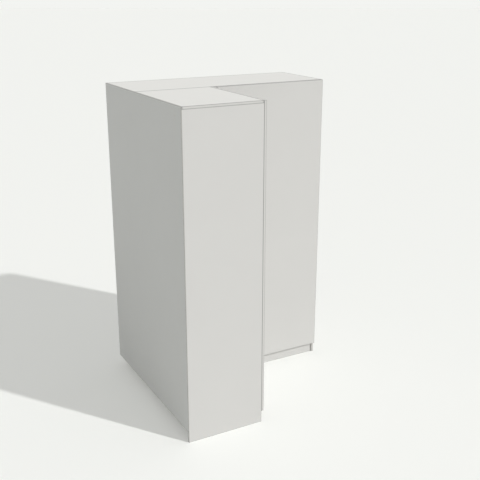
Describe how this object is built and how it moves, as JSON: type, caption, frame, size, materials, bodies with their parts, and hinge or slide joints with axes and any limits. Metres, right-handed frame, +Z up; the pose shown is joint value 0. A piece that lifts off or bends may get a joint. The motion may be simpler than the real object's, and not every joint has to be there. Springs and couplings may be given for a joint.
{
  "type": "corner kitchen cabinet",
  "caption": "Tall L-shaped corner kitchen unit on a recessed plinth, handleless, with a hinged leaf in each leg, corner fillers and shelves.",
  "frame": {"origin": "centre of the footprint, on the floor", "axes": "+X right along the rear wall, +Y towards the rear wall, +Z up"},
  "size_m": [1.516, 1.326, 2.28],
  "materials": {
    "carcass_board": "pale grey-white melamine-faced board with matching edge band",
    "front_board": "matt pale grey-white lacquer-like foil with matching edge band",
    "shelf_board": "pale melamine-faced board",
    "back_sheet": "painted thin fibreboard",
    "plated_steel": "nickel plated",
    "dark_plastic": "moulded, fine grain",
    "pale_plastic": "moulded, fine grain"
  },
  "bodies": {
    "carcass": {"end_gable": "carcass_board", "right_gable": "carcass_board", "partition": "carcass_board", "top_front": "carcass_board", "top_back": "carcass_board", "bottom_front": "carcass_board", "bottom_back": "carcass_board", "left_back_sheet": "back_sheet", "rear_back_sheet": "back_sheet", "inner_post": "carcass_board", "corner_board": "carcass_board", "left_upright": "carcass_board", "rear_upright": "carcass_board", "left_fixing_rail": "carcass_board", "rear_fixing_rail": "carcass_board", "right_fixing_rail": "carcass_board", "top_batten": "carcass_board", "bottom_batten": "carcass_board", "front_shelf_1": "shelf_board", "front_shelf_2": "shelf_board", "front_shelf_3": "shelf_board", "front_shelf_4": "shelf_board", "corner_shelf_1": "shelf_board", "corner_shelf_2": "shelf_board", "corner_shelf_3": "shelf_board", "corner_shelf_4": "shelf_board", "right_shelf_1": "shelf_board", "right_shelf_2": "shelf_board", "right_shelf_3": "shelf_board", "right_shelf_4": "shelf_board", "shelf_pins": "plated_steel", "cam_fittings": "plated_steel", "front_filler": "front_board", "back_filler": "front_board", "front_spacers": "dark_plastic", "front_hinge_arms": "plated_steel", "front_hinge_plates": "plated_steel", "back_hinge_arms": "plated_steel", "back_hinge_plates": "plated_steel", "latch_housings": "pale_plastic", "foot_sockets": "dark_plastic", "front_plinth": "carcass_board", "back_plinth": "carcass_board", "plinth_blocks": "dark_plastic"},
    "front_leaf": {"front_door": "front_board", "front_hinge_cups": "plated_steel", "front_hinge_pins": "plated_steel"},
    "back_leaf": {"back_door": "front_board", "back_hinge_cups": "plated_steel", "back_hinge_pins": "plated_steel"},
    "front_plunger": {"front_latch_plunger": "dark_plastic"},
    "back_plunger": {"back_latch_plunger": "dark_plastic"},
    "foot_screw_1": {"foot_1": "dark_plastic"},
    "foot_screw_2": {"foot_2": "dark_plastic"},
    "foot_screw_3": {"foot_3": "dark_plastic"},
    "foot_screw_4": {"foot_4": "dark_plastic"},
    "foot_screw_5": {"foot_5": "dark_plastic"}
  },
  "joints": [
    {"name": "front_door_hinge", "type": "hinge", "parent": "carcass", "child": "front_leaf", "pos_m": [-0.176, -0.6555, 1.181], "axis": [0, 0, -1], "range_deg": [0, 95]},
    {"name": "back_door_hinge", "type": "hinge", "parent": "carcass", "child": "back_leaf", "pos_m": [0.7505, 0.081, 1.181], "axis": [0, 0, 1], "range_deg": [0, 95]},
    {"name": "front_latch_press", "type": "slide", "parent": "carcass", "child": "front_plunger", "axis": [-1, 0, 0], "range_m": [0, 0.003], "stiffness_N_per_m": 400},
    {"name": "back_latch_press", "type": "slide", "parent": "carcass", "child": "back_plunger", "axis": [0, 1, 0], "range_m": [0, 0.003], "stiffness_N_per_m": 400},
    {"name": "foot_1_height", "type": "slide", "parent": "carcass", "child": "foot_screw_1", "axis": [0, 0, 1], "range_m": [0, 0.01]},
    {"name": "foot_2_height", "type": "slide", "parent": "carcass", "child": "foot_screw_2", "axis": [0, 0, 1], "range_m": [0, 0.01]},
    {"name": "foot_3_height", "type": "slide", "parent": "carcass", "child": "foot_screw_3", "axis": [0, 0, 1], "range_m": [0, 0.01]},
    {"name": "foot_4_height", "type": "slide", "parent": "carcass", "child": "foot_screw_4", "axis": [0, 0, 1], "range_m": [0, 0.01]},
    {"name": "foot_5_height", "type": "slide", "parent": "carcass", "child": "foot_screw_5", "axis": [0, 0, 1], "range_m": [0, 0.01]}
  ]
}
